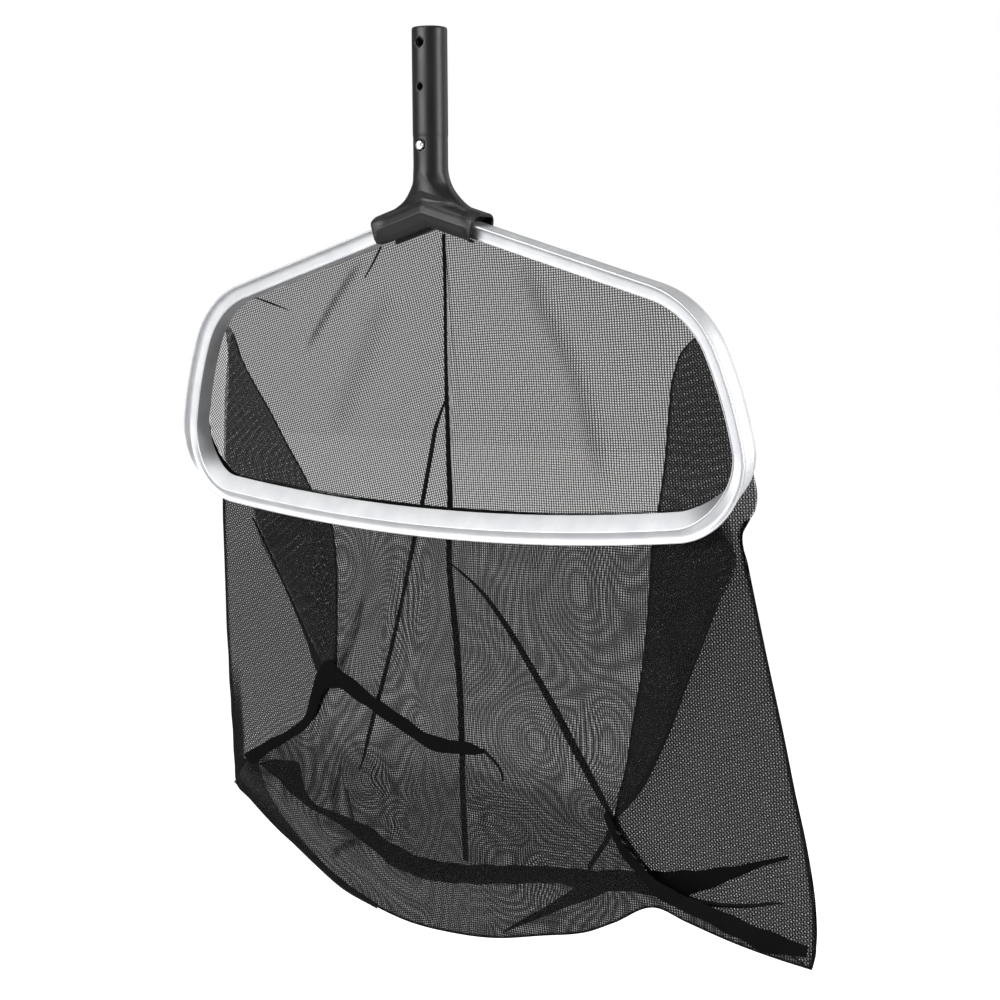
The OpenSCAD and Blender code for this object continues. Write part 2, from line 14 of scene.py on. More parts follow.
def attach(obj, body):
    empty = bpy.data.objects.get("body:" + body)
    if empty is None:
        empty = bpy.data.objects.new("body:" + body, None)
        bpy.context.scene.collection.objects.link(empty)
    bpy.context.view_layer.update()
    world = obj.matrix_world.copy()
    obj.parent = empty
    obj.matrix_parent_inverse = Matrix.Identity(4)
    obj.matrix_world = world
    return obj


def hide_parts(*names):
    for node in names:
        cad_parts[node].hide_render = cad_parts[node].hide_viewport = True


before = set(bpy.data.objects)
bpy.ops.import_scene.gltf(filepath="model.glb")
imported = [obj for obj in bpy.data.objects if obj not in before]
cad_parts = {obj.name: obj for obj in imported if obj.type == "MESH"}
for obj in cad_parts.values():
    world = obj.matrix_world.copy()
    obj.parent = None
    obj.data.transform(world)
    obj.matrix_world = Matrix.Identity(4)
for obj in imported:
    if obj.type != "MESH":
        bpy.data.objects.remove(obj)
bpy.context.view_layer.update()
BODY = "rake"          # the part that holds everything but the clip's legs
MM = 0.001             # shapes below are in millimetres, Blender is in metres

# %% [markdown]
# ## The camera
# The rake is seen from its right front, a little from above. A constraint could aim the camera,
# but a matrix is exact: a turn round the upright axis, a tilt and a slight roll. The lens comes
# from the 1000 pixels that the frame is wide. The lamps are aimed in the same way.
# %% Place the camera
TURN, TILT, ROLL = np.radians([34.89, 7.29, -0.32])
TARGET, AWAY = np.array([65.4, 0.0, -329.4]), 1400.0     # mm
FOCAL_PIXELS, FRAME_PIXELS, SENSOR = 1761.5, 1000, 36.0


def link(name, data):
    """An object for a mesh, a camera or a lamp, in the scene."""
    made = bpy.data.objects.new(name, data)
    bpy.context.scene.collection.objects.link(made)
    return made


def aim(name, data, place, back, roll=0.0, up=(0, 0, 1)):
    """A camera or lamp at a place in metres, looking against back: right is up x back, and the
    roll turns right r and up u about back, to r cos + u sin and u cos - r sin."""
    back = back / np.linalg.norm(back)
    level = np.cross(up, back)
    level /= np.linalg.norm(level)
    upright = np.cross(back, level)
    turned = np.eye(4)
    turned[:3, :3] = np.column_stack([level * np.cos(roll) + upright * np.sin(roll),
                                      upright * np.cos(roll) - level * np.sin(roll), back])
    turned[:3, 3] = place
    made = link(name, data)
    made.matrix_world = Matrix(turned.tolist())
    return made


back = np.array([np.sin(TURN) * np.cos(TILT), -np.cos(TURN) * np.cos(TILT), np.sin(TILT)])
place = (TARGET + AWAY * back) * MM
camera_data = bpy.data.cameras.new("camera")
camera_data.sensor_width = SENSOR
camera_data.lens = FOCAL_PIXELS / FRAME_PIXELS * SENSOR
bpy.context.scene.camera = aim("camera", camera_data, place, back, ROLL)
print("camera at", np.round(place, 3), "lens", round(camera_data.lens, 2))

# %% [markdown]
# ## Small helpers
# A grid of points becomes a mesh in one go, with a UV map in real millimetres, so that a weave
# has its true size. `tube` closes a grid into a bar, a cord or a tape, and `flow` draws the
# smooth lines that cloth and tapes follow. All work on whole arrays.
# %% Grid, curve and object helpers


def quads(n, m, around=False):
    """The faces of an (n, m) grid of points, as rows of four point numbers. With around, the
    last column joins the first."""
    i, j = np.meshgrid(np.arange(n - 1), np.arange(m if around else m - 1), indexing="ij")
    k = (j + 1) % m
    return np.stack([i * m + j, (i + 1) * m + j, (i + 1) * m + k, i * m + k], -1).reshape(-1, 4)


def smooth_mesh(name, points, faces, uv):
    """A mesh from points in mm, lists of point numbers and each face corner's UV in mm."""
    mesh = bpy.data.meshes.new(name)
    mesh.from_pydata((points * MM).tolist(), [], faces)
    layer = mesh.uv_layers.new(name="millimetres")
    layer.data.foreach_set("uv", uv.astype(np.float32).reshape(-1))
    mesh.shade_smooth()
    return mesh


def tube(name, points, run, girth, flip=False):
    """A closed tube from n rings of m points, an (n, m, 3) array in mm, with flat caps. UVs are
    the distances run along it (n) and round its section (m + 1)."""
    n, m = points.shape[:2]
    uv = np.stack(np.meshgrid(run, girth, indexing="ij"), -1).reshape(-1, 2)
    faces, corners = quads(n, m, around=True), quads(n, m + 1)
    caps = [np.arange(m), (n - 1) * m + np.arange(m)[::-1]]
    if flip:
        faces, corners, caps = faces[:, ::-1], corners[:, ::-1], [cap[::-1] for cap in caps]
    return smooth_mesh(name, points.reshape(-1, 3), faces.tolist() + [c.tolist() for c in caps],
                       np.concatenate([uv[corners.reshape(-1)], np.zeros((2 * m, 2))]))


def flow(points, count):
    """Evenly spaced points on a smooth curve through the given ones: each span is the cubic whose
    end slopes are the finite differences there (Catmull-Rom by length)."""
    p = np.asarray(points, float)
    t = lengths(p)
    slope = np.gradient(p, t, axis=0)
    s = np.linspace(0, t[-1], count)
    k = np.clip(np.searchsorted(t, s, "right") - 1, 0, len(t) - 2)
    h = (t[k + 1] - t[k])[:, None]
    u = (s - t[k])[:, None] / h
    return ((2 * u**3 - 3 * u**2 + 1) * p[k] + (u**3 - 2 * u**2 + u) * h * slope[k]
            + (3 * u**2 - 2 * u**3) * p[k + 1] + (u**3 - u**2) * h * slope[k + 1])


def lengths(points):
    """Distance run along a line of points, starting at 0."""
    return np.concatenate([[0], np.cumsum(np.linalg.norm(np.diff(points, axis=0), axis=1))])


def round_lengths(section):
    """Distance run round a closed outline, back to its first point."""
    return lengths(np.concatenate([section, section[:1]]))


def evenly(line, count):
    """Points evenly spaced along a line of straight spans."""
    run = lengths(line)
    even = np.linspace(0, run[-1], count)
    return np.column_stack([np.interp(even, run, line[:, k]) for k in (0, 1)])


def square_to(line):
    """Unit vectors (dz, -dx) / |d| that lie square to a line (x, z), for its slopes d."""
    along = np.gradient(line, axis=0)
    return np.column_stack([along[:, 1], -along[:, 0]]) / np.linalg.norm(along, axis=1)[:, None]


def ease(t):
    """A smooth step from 0 to 1: 3t^2 - 2t^3."""
    u = np.clip(t, 0, 1)
    return u * u * (3 - 2 * u)


def piece(mesh, material, slot, *replaced):
    """Puts a mesh with its material on the rake's body, and hides the CAD nodes it stands for."""
    made = link(mesh.name, mesh)
    mesh.materials.append(material)
    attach(made, BODY)
    if replaced:
        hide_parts(*replaced)
    print(f"{mesh.name}: {len(mesh.polygons)} faces")
    return made


# %% [markdown]
# ## Material helpers
# Colours are written as the hex codes a designer would use, which are sRGB, and the renderer
# wants them linear. Small functions turn them, fill or link a node's inputs, add a node with its
# settings, and give a shader the two tones and the relief that most of these finishes have.
# %% Colour and node helpers


def linear(code):
    """Linear RGBA from an sRGB hex code: c/12.92 up to 0.04045, ((c+0.055)/1.055)^2.4 above."""
    c = np.array([int(code[i:i + 2], 16) for i in (1, 3, 5)]) / 255
    return tuple(np.where(c <= 0.04045, c / 12.92, ((c + 0.055) / 1.055) ** 2.4)) + (1.0,)


def plug(node, inputs):
    """Fills a node's inputs with values, or links them to outputs. A node given as a value stands
    for the first of its outputs that is in use."""
    for key, value in inputs.items():
        if isinstance(value, bpy.types.Node):
            value = next(output for output in value.outputs if output.enabled)
        if isinstance(value, bpy.types.NodeSocket):
            node.id_data.links.new(value, node.inputs[key])
        else:
            node.inputs[key].default_value = value


def add(tree, kind, inputs=None, **settings):
    """Adds one shader node: settings are its properties, and inputs are plugged in."""
    made = tree.nodes.new("ShaderNode" + kind)
    for key, value in settings.items():
        setattr(made, key, value)
    plug(made, inputs or {})
    return made


def new_material(name, inputs):
    """A material with one Principled shader, and its sockets' fixed values."""
    material = bpy.data.materials.new(name)
    material.use_nodes = True
    shader = material.node_tree.nodes["Principled BSDF"]
    plug(shader, inputs)
    return material, material.node_tree, shader


def two_tone(shader, factor, dark, pale, height, strength, depth, **more):
    """Mixes the base colour from two hex codes by a factor, and adds relief of a depth in mm."""
    tree = shader.id_data
    shade = add(tree, "Mix", {"Factor": factor, "A": linear(dark), "B": linear(pale)},
                data_type="RGBA")
    bump = add(tree, "Bump", {"Height": height, "Strength": strength, "Distance": depth * MM})
    plug(shader, {"Base Color": shade, "Normal": bump, **more})


# %% [markdown]
# ## Moulded plastic
# The yoke is glass-filled polypropylene, black and moulded in a spark-eroded tool, whose grain of
# about 0.4 mm breaks the gloss into fine specks. A fine noise drives the bump, and a broad one
# lets the gloss vary a little as it does where hands have rubbed it.
# %% Black polypropylene
plastic, tree, shader = new_material("glass_filled_polypropylene", {
    "Base Color": linear("#0a0a0b"), "IOR": 1.49, "Specular IOR Level": 0.27})
where = add(tree, "TexCoord").outputs["Object"]
GRAIN = 1 / (0.45 * MM)
grain = add(tree, "TexNoise", {"Vector": where, "Scale": GRAIN, "Detail": 2.0, "Roughness": 0.6})
rubbed = add(tree, "TexNoise", {"Vector": where, "Scale": 1 / (26 * MM), "Detail": 2.0})
gloss = add(tree, "MapRange", {"Value": rubbed, "From Min": 0.3, "From Max": 0.7,
                               "To Min": 0.36, "To Max": 0.43})
bump = add(tree, "Bump", {"Height": grain, "Strength": 0.35, "Distance": 0.12 * MM})
plug(shader, {"Roughness": gloss, "Normal": bump})
print("plastic grain, features per metre", round(GRAIN))

# %% [markdown]
# ## Satin aluminium
# The hoop is extruded 6063 aluminium, lightly etched to a satin white. Extrusion leaves die lines
# that run along the bar, so the noise is stretched along the length of the UV map and fine across
# it. They are a few hundredths of a millimetre apart, and drawn at 0.3 mm so that they show.
# %% Extruded aluminium
aluminium, tree, shader = new_material("satin_extruded_aluminium", {"Metallic": 1.0})
DIE_LINES, CLOUD = 0.3, 18 * MM
drawn = add(tree, "Mapping", {"Vector": add(tree, "UVMap", uv_map="millimetres"),
                              "Scale": (0.006, 1 / DIE_LINES, 1.0)})
lines = add(tree, "TexNoise", {"Vector": drawn, "Scale": 1.0, "Detail": 3.0, "Roughness": 0.65})
clouds = add(tree, "TexNoise", {"Vector": add(tree, "TexCoord").outputs["Object"],
                                "Scale": 1 / CLOUD, "Detail": 3.0})
tone = add(tree, "MapRange", {"Value": clouds, "From Min": 0.3, "From Max": 0.7})
satin = add(tree, "MapRange", {"Value": lines, "From Min": 0.25, "From Max": 0.75,
                               "To Min": 0.5, "To Max": 0.62})
two_tone(shader, tone, "#b0b1b4", "#bbbcbd", lines, 0.2, 0.04, Roughness=satin)
print("aluminium: die lines drawn", DIE_LINES, "mm apart")

# %% [markdown]
# ## Net
# The bag is woven from black polyester thread, an open square grid. Modelled threads would take
# millions of faces, so the openings are cut by alpha on the UV map in millimetres. Layers that
# cross at an angle then make the real net's moire. An attribute, `closed`, thickens the threads
# where the cloth is bunched in a crease or a seam.
# %% Woven polyester net
WARP_PITCH, WEFT_PITCH = 2.3, 1.95        # mm from thread to thread, upright and level ones
WARP_SHARE, WEFT_SHARE = 0.575, 0.40      # share of its pitch that a thread covers
FUZZ = 0.55                               # share of a pitch over which its fuzzy edge thins out
net, tree, shader = new_material("woven_polyester_net", {
    "Roughness": 0.6, "IOR": 1.5, "Specular IOR Level": 0.05})
uv = add(tree, "UVMap", uv_map="millimetres")
drift = add(tree, "TexNoise", {"Vector": uv, "Scale": 0.02, "Detail": 1.0}, noise_dimensions="2D")
loose = add(tree, "VectorMath", {0: drift.outputs["Color"], 1: (2.5, 2.5, 2.5),
                                 2: (-1.25, -1.25, -1.25)}, operation="MULTIPLY_ADD")
uneven = add(tree, "TexNoise", {"Vector": uv, "Scale": 0.3, "Detail": 1.0}, noise_dimensions="2D")
jitter = add(tree, "VectorMath", {0: uneven.outputs["Color"], 1: (0.6, 0.6, 0.6), 2: loose},
             operation="MULTIPLY_ADD")
woven = add(tree, "SeparateXYZ", {0: add(tree, "VectorMath", {0: uv, 1: jitter}, operation="ADD")})
closed = add(tree, "Attribute", attribute_name="closed").outputs["Fac"]
gaps, crown = [], []
for axis, share, pitch in (("X", WARP_SHARE, WARP_PITCH), ("Y", WEFT_SHARE, WEFT_PITCH)):
    counted = add(tree, "Math", {0: woven.outputs[axis], 1: 1 / pitch}, operation="MULTIPLY")
    across = add(tree, "Math", {0: counted, 1: 0.5}, operation="PINGPONG")
    half = add(tree, "Math", {0: closed, 1: 0.5, 2: (share - 1) / 2}, operation="MULTIPLY_ADD")
    inside = add(tree, "Math", {0: half, 1: across}, operation="ADD")
    crown.append(inside)
    gaps.append(add(tree, "MapRange", {"Value": inside, "From Min": -FUZZ / 2,
                                       "From Max": FUZZ / 2, "To Min": 1.0, "To Max": 0.0}))
opening = add(tree, "Math", dict(enumerate(gaps)), operation="MULTIPLY")
thread = add(tree, "Math", {0: 1.0, 1: opening}, operation="SUBTRACT")
height = add(tree, "Math", dict(enumerate(crown)), operation="MAXIMUM")
dusty = add(tree, "TexNoise", {"Vector": uv, "Scale": 0.5, "Detail": 3.0}, noise_dimensions="2D")
two_tone(shader, dusty, "#040404", "#0d0d0d", height, 0.5, 0.8, Alpha=thread)
print("net: open share of one layer", round((1 - WARP_SHARE) * (1 - WEFT_SHARE), 3))

# %% [markdown]
# ## Tape, cord and the steel of the small parts
# Seams are bound with black twill tape. Its slanting ribs are drawn 2.8 mm apart, coarser than
# they are, so that they show. The bead is a laid cord, whose colour follows its strands' relief:
# pale on the crowns, with painted shade in the grooves. The screws, washers and clip are
# stainless steel, brushed in the strip and turned in the heads, and the button is polished, its
# colour near white, brighter than steel: a painted highlight.
# %% Tape, cord and steel
RIBS, STRANDS = 0.16, 0.12     # scales of a diagonal wave, which repeats every 0.444 / scale in mm
tape, tree, shader = new_material("black_twill_tape", {"Roughness": 0.9,
                                                       "Specular IOR Level": 0.05})
uv = add(tree, "UVMap", uv_map="millimetres")
ribs = add(tree, "TexWave", {"Vector": uv, "Scale": RIBS, "Distortion": 1.2, "Detail": 2.0,
                             "Detail Scale": 3.0}, bands_direction="DIAGONAL")
fuzz = add(tree, "TexNoise", {"Vector": uv, "Scale": 1.4, "Detail": 3.0}, noise_dimensions="2D")
two_tone(shader, fuzz, "#020202", "#080809", ribs.outputs["Fac"], 0.5, 0.25)

cord, tree, shader = new_material("laid_polypropylene_cord", {"Roughness": 0.6})
uv = add(tree, "UVMap", uv_map="millimetres")
lay_and_groove_shade = add(tree, "TexWave", {"Vector": uv, "Scale": STRANDS, "Distortion": 0.6, "Detail": 1.0},
          bands_direction="DIAGONAL").outputs["Fac"]
# colour and relief share one wave: pale on the strands' crowns, painted shade in the grooves
two_tone(shader, lay_and_groove_shade, "#0a0a0a", "#202022", lay_and_groove_shade, 0.6, 0.4)

# name, colour, roughness, mm between the fine lines along x, y and z, and the CAD nodes
STEELS = [("brushed_stainless_steel", "#c9cacc", 0.32, (0.15, 0.15, 3.0),
           ("clip_bend", "clip_front_leg", "clip_rear_leg")),
          ("turned_stainless_steel", "#c4c5c8", 0.24, (0.5, 0.2, 0.5),
           ("screw_washers", "yoke_screws")),
          # the button's near-white colour, brighter than steel is, is a painted highlight
          ("button_steel_painted_highlight", "#f2f2f2", 0.32, (1.5, 1.5, 1.5),
           ("clip_front_button", "clip_rear_button"))]
for name, code, rough, spacing, nodes in STEELS:
    steel, tree, shader = new_material(name, {"Metallic": 1.0, "Base Color": linear(code)})
    drawn = add(tree, "Mapping", {"Vector": add(tree, "TexCoord").outputs["Object"],
                                  "Scale": tuple(1 / (mm * MM) for mm in spacing)})
    lines = add(tree, "TexNoise", {"Vector": drawn, "Scale": 1.0, "Detail": 2.0})
    satin = add(tree, "MapRange", {"Value": lines, "From Min": 0.3, "From Max": 0.7,
                                   "To Min": rough * 0.8, "To Max": rough * 1.2})
    bump = add(tree, "Bump", {"Height": lines, "Strength": 0.12, "Distance": 0.03 * MM})
    plug(shader, {"Roughness": satin, "Normal": bump})
    for node in nodes:
        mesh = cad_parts[node].data
        mesh.materials.clear()
        mesh.materials.append(steel)
print("steel on the screws, washers and clip")

# %% [markdown]
# ## The line of the hoop
# The hoop is one bar bent in a plane: two sloping top bars, a shoulder bend, a slightly bowed
# side, a round lower corner and a long leading bar. Each stretch is an arc, so a station is a
# place, the heading of the bar there, and the roll that lays the leading bar flat on the floor.
# %% Stations along the hoop
TOP_SLOPE, TOP_BAR, FRAME_END, BAR_STATIONS = 16.5, 214.0, 12.0, 40
ARCS = [(84.0, 50.0, 40), (330.0, 13.0, 14), (63.0, None, 60), (1780.0, None, 40)]  # r, turn, n
LEAN, LEADING_ROLL = math.radians(3), math.radians(50)
APEX, LIP_Y = -98.787, -11.5


def arc(start, radius, turn, count):
    """Stations (x, z, heading) of an arc that turns clockwise from a start station h:
    x + r (sin h - sin a), z - r (cos h - cos a), for headings a down to h - turn."""
    x, z, h = start
    a = h - turn * np.arange(1, count + 1) / count
    return np.column_stack([x + radius * (np.sin(h) - np.sin(a)),
                            z - radius * (np.cos(h) - np.cos(a)), a])


def half_hoop(first_x):
    """Stations of the right half, from first_x on the top bar to the middle of the leading bar.
    The corner turns until the leading bar's bow, which has to end level at x = 0, meets it."""
    h = -math.radians(TOP_SLOPE)
    bar = np.linspace(first_x / math.cos(h), TOP_BAR, BAR_STATIONS)
    stations = [np.column_stack([bar * math.cos(h), bar * math.sin(h), np.full(len(bar), h)])]
    for radius, turn, count in ARCS[:2]:
        stations.append(arc(stations[-1][-1], radius, math.radians(turn), count))
    x, z, h = stations[-1][-1]
    (corner_r, _, corner_n), (lead_r, _, lead_n) = ARCS[2:]
    lead_turn = math.asin((x + corner_r * math.sin(h)) / (lead_r - corner_r))
    corner_turn = math.pi + h - lead_turn
    stations.append(arc(stations[-1][-1], corner_r, corner_turn, corner_n))
    stations.append(arc(stations[-1][-1], lead_r, lead_turn, lead_n))
    path = np.concatenate(stations)
    roll = LEADING_ROLL * ease((h - path[:, 2]) / corner_turn)
    return np.column_stack([path, roll])


def along_hoop(stations, section, sign=1):
    """Carries section points (out, back) of shape (m, 2) or (n, m, 2) along the stations. A
    section point turns by the roll, then goes out square to the heading; the hoop's plane leans
    back about its top. Returns (n, m, 3)."""
    x, z, h, r = (stations[:, i, None] for i in range(4))
    n, d = section[..., 0], section[..., 1]
    out, back = n * np.cos(r) - d * np.sin(r), n * np.sin(r) + d * np.cos(r)
    px, pz = x - out * np.sin(h), z + out * np.cos(h)
    return np.stack([sign * px, LIP_Y + back * math.cos(LEAN) - pz * math.sin(LEAN),
                     APEX + back * math.sin(LEAN) + pz * math.cos(LEAN)], -1)


def rounded(outline, radii, steps=4):
    """A closed outline with its corners rounded: a corner p becomes the quadratic curve from
    p + (before - p) k to p + (after - p) k, where k keeps the cut to the radius given."""
    p = np.asarray(outline, float)
    before, after = np.roll(p, 1, 0) - p, np.roll(p, -1, 0) - p
    lb, la = (np.linalg.norm(v, axis=1, keepdims=True) for v in (before, after))
    r = np.asarray(radii, float)[:, None]
    a, b = p + before * np.minimum(r / lb, 0.45), p + after * np.minimum(r / la, 0.45)
    t = np.linspace(0, 1, steps)[None, :, None]
    curve = (1 - t) ** 2 * a[:, None] + 2 * t * (1 - t) * p[:, None] + t**2 * b[:, None]
    return curve.reshape(-1, 2)


def swept(name, stations, section, outline):
    """A section carried along the right half of the hoop and back along its mirror image, from
    the middle of the leading bar. The outline is the section before it ripples."""
    right, left = (along_hoop(stations, section, sign) for sign in (1, -1))
    points = np.concatenate([right, left[-2::-1]])
    return tube(name, points, lengths(points[:, 0]), round_lengths(outline), flip=True)


hoop_path = half_hoop(FRAME_END)
print("stations", len(hoop_path), "half width", round(float(hoop_path[:, 0].max()), 1), "mm")

# %% [markdown]
# ## The hoop
# The section is a channel 11.9 mm wide and 21 mm deep. Its front is stepped: a lip at the outer
# edge, a hollow flank and a lower face inwards. The outer wall has fine grooves from the die. A
# bump map would lose them from the side, so they are shape.
# %% Sweep the aluminium section
RAIL_D, RAIL_W, RAIL_T, SLOT_N, SLOT_HALF = 21.0, 11.9, 1.6, -5.95, 2.15
GROOVES = np.arange(4.0, 17.5, 1.5)
GROOVE_DEPTH, GROOVE_HALF = 0.22, 0.38
groove_ds = (GROOVES[:, None] + [-GROOVE_HALF, 0, GROOVE_HALF]).reshape(-1)
groove_ns = np.tile([0.0, -GROOVE_DEPTH, 0.0], len(GROOVES))
front = [[-10.5, 5.7], [-3.9, 4.9], [-2.6, 3.2], [-1.6, 0.5], [-1.1, 0.0], [-0.5, 0.0], [0, 0.6],
         [0, 2.6]]
inside = [[SLOT_N + SLOT_HALF, RAIL_D], [SLOT_N + SLOT_HALF, RAIL_D - RAIL_T],
          [-RAIL_T, RAIL_D - RAIL_T], [-RAIL_T, 4.6 + RAIL_T], [RAIL_T - RAIL_W, 7.4],
          [RAIL_T - RAIL_W, RAIL_D - RAIL_T], [SLOT_N - SLOT_HALF, RAIL_D - RAIL_T],
          [SLOT_N - SLOT_HALF, RAIL_D], [-RAIL_W, RAIL_D], [-RAIL_W, 5.4], [-11.3, 4.8]]
outline = front + np.column_stack([groove_ns, groove_ds]).tolist() + [[0, RAIL_D]] + inside
radii = ([0.8, 1.2, 1.2, 0.4, 0.4, 0.4, 0.5, 0.2] + [0.08] * len(groove_ns) + [0.6]
         + [0.35] * 9 + [0.5, 0.5])
section = rounded(outline, radii)
piece(swept("hoop_extrusion", hoop_path, section, section), aluminium, "satin_aluminium",
      "hoop_frame")

# %% [markdown]
# ## Bead and binding
# The bag's rim is a tape folded round a cord. The cord sits in the channel, too thick for its
# slot, and the fold of the tape comes out at the back, where the net is sewn in. The tape
# ripples between stitches, so its section shifts from station to station.
# %% Sweep the cord and the folded tape
BAG_TOP_X, BEAD_R, BEAD_GAP, BINDING_BACK = 55.5, 3.0, 0.5, 27.0
rim_path = half_hoop(BAG_TOP_X)
turn = np.linspace(0, 2 * np.pi, 20, endpoint=False)
bead = np.column_stack([SLOT_N + BEAD_R * np.cos(turn),
                        RAIL_D - RAIL_T - BEAD_GAP - BEAD_R + BEAD_R * np.sin(turn)])
piece(swept("rim_cord", rim_path, bead, bead), cord, "bead_cord", "rim_bead")

run = lengths(rim_path[:, :2])
fold = np.array([[0.75, 19.4], [0.75, 22], [0.72, 24.5], [0.6, 26.2], [0.3, 26.9],
                 [0, BINDING_BACK], [-0.3, 26.9], [-0.6, 26.2], [-0.72, 24.5], [-0.75, 22],
                 [-0.75, 19.4], [0, 19.3]])
ripple = 0.35 * np.sin(run / 3.4) + 0.2 * np.sin(run / 1.9 + 1.3)
depth_share = np.clip((fold[:, 1] - 21.5) / 5.5, 0, 1)
shifted = ripple[:, None, None] * depth_share[None, :, None] * [1, 0]
binding = fold[None] + [SLOT_N, 0.0] + shifted
tight = 2.3 * ease((rim_path[:, 0] - 60) / 60) * (rim_path[:, 3] / LEADING_ROLL) ** 3
binding[..., 1] -= tight[:, None] * depth_share
piece(swept("rim_tape", rim_path, binding, fold), tape, "seam_tape", "rim_binding")

# %% [markdown]
# ## The yoke
# The yoke is one moulding with soft corners everywhere, which a CAD edge doesn't show. A copy of
# its solid is remeshed to an even skin and then relaxed, which rounds every edge by about a
# millimetre. Before that the front is modelled a little: the neck becomes oval, a hollow runs
# between it and the arms, whose faces tilt up from there, and then turn under at their foot.
# %% Soften a copy of the yoke
SLOPE_TAN = math.tan(math.radians(TOP_SLOPE))
ARMS_TOP, NECK_Z, FLARE_X, FLARE_R = -88.6, -69.0, 50.15, 36.0
OVAL, HOLLOW, UNDER = 0.75, 2.8, 6.5       # share of the section, mm and mm


def modelled(co):
    """Pushes the front of the yoke back: by the oval section sqrt(1 - k (x / w)^2) over the neck,
    by a hollow along the arms' top line, and by a slope that turns their foot under."""
    x, y, z = co.T / MM
    below = ARMS_TOP - np.abs(x) * SLOPE_TAN - z
    wide = FLARE_X - np.sqrt(FLARE_R**2 - np.clip(NECK_Z - z, 0, FLARE_R - 2) ** 2)
    oval = OVAL * ease((NECK_Z - z) / 12) * ease((7 - below) / 9)
    y = np.where(y < 0, y * np.sqrt(1 - oval * np.minimum(np.abs(x) / wide, 1) ** 2), y)
    hollow = HOLLOW * np.minimum(np.clip((14 - below) / 11, 0, 1), ease((below + 3) / 5))
    under = UNDER * np.clip((below - 14) / 9, 0, 1) ** 1.2
    reach = ease((48 - np.abs(x)) / 12) * ease((-y - 4) / 6)
    return np.column_stack([x, y + (hollow + under) * reach, z]) * MM


def relaxed(node, name, voxel, rounds):
    """The CAD node's solid, remeshed with a voxel in mm and smoothed: each round moves a vertex
    half way to the mean of its neighbours, and every other one is reversed and stronger, so that
    the whole doesn't shrink (Taubin's method)."""
    made = link(name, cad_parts[node].data.copy())
    weld = made.modifiers.new("weld", "WELD")
    weld.merge_threshold = 0.002 * MM
    remesh = made.modifiers.new("skin", "REMESH")
    remesh.mode = "VOXEL"
    remesh.voxel_size = voxel * MM
    mesh = bpy.data.meshes.new_from_object(
        made.evaluated_get(bpy.context.evaluated_depsgraph_get()))
    bpy.data.objects.remove(made)
    co = np.empty(len(mesh.vertices) * 3, np.float32)
    mesh.vertices.foreach_get("co", co)
    co = modelled(co.reshape(-1, 3).astype(float))
    edges = np.empty(len(mesh.edges) * 2, np.int64)
    mesh.edges.foreach_get("vertices", edges)
    a, b = edges.reshape(-1, 2).T
    count = np.bincount(np.concatenate([a, b]), minlength=len(co))[:, None]
    for turn in range(rounds):
        total = np.stack([np.bincount(a, co[b, k], len(co)) + np.bincount(b, co[a, k], len(co))
                          for k in range(3)], -1)
        co += (0.5 if turn % 2 == 0 else -0.52) * (total / count - co)
    mesh.vertices.foreach_set("co", co.astype(np.float32).reshape(-1))
    mesh.name = name
    mesh.materials.clear()
    mesh.shade_smooth()
    return mesh


piece(relaxed("yoke", "yoke_moulding", 0.8, 30), plastic, "moulded_plastic", "yoke")

# %% [markdown]
# ## How the bag hangs
# The bag is one tube of net. At each side a pleat is folded in between the back panel and the
# front: an outer fold, a leg in to an inner fold, and a leg out again. `fall` is the distance
# below the hoop's apex. Side profiles give the depth of the back and of the front, tables give
# where each fold runs, and the front closes on the back over the last stretch above the foot.
# %% Profiles of the bag, and cloth helpers
BACK_PROFILE = np.array([[0, 15.8], [100, 21], [180, 28], [240, 30.5], [350, 32], [440, 33],
                         [540, 35], [620, 33]])
FRONT_PROFILE = np.array([[238, 14.9], [252, 15.7], [290, 15.6], [400, 14], [480, 11], [540, 10],
                          [620, 12]])
FOOT = np.array([(-262, 523), (-227, 548), (-174, 578), (-135, 597), (-92, 610), (-54, 616),
                 (-16, 616), (33, 611), (80, 599), (128, 585), (151, 573), (191, 552), (217, 558),
                 (264, 567), (298, 571), (325, 573)])
CLOSING, BELOW_HOOP = 66.0, 235    # height of the closing, and the fall at which the hoop ends
ROWS, COLUMNS = 210, 230


def depth_of(profile, fall):
    """Depth of a panel at a fall: the profile's line, softened by averaging five near falls."""
    steps = np.array([-12, -6, 0, 6, 12])
    return np.mean([np.interp(fall + s, *profile.T) for s in steps], axis=0)


def front_depth(x, fall):
    """Depth of the front net: its own profile, eased to 2 mm before the back one at the foot."""
    shut = ease(1 - (np.interp(x, *FOOT.T) - fall) / CLOSING)
    return (1 - shut) * depth_of(FRONT_PROFILE, fall) + shut * (depth_of(BACK_PROFILE, fall) - 2)


def back_depth(x, fall):
    """Depth of the back net, the same across its width."""
    return depth_of(BACK_PROFILE, fall) + 0 * x


def place_cloth(x, fall, depth):
    """Points (x, y, z) from x, fall and depth."""
    return np.stack(np.broadcast_arrays(x, depth, APEX - fall), -1)


def patch(top, bottom, left, right):
    """A Coons patch from four boundary curves, arrays (n, 2) and (m, 2): the sum of both ruled
    surfaces, less the one through the corners. Returns (m, n, 2), down then across."""
    u = np.linspace(0, 1, len(top))[None, :, None]
    v = np.linspace(0, 1, len(left))[:, None, None]
    corners = ((1 - u) * (1 - v) * top[0] + u * (1 - v) * top[-1]
               + (1 - u) * v * bottom[0] + u * v * bottom[-1])
    return (1 - v) * top + v * bottom + (1 - u) * left[:, None] + u * right[:, None] - corners


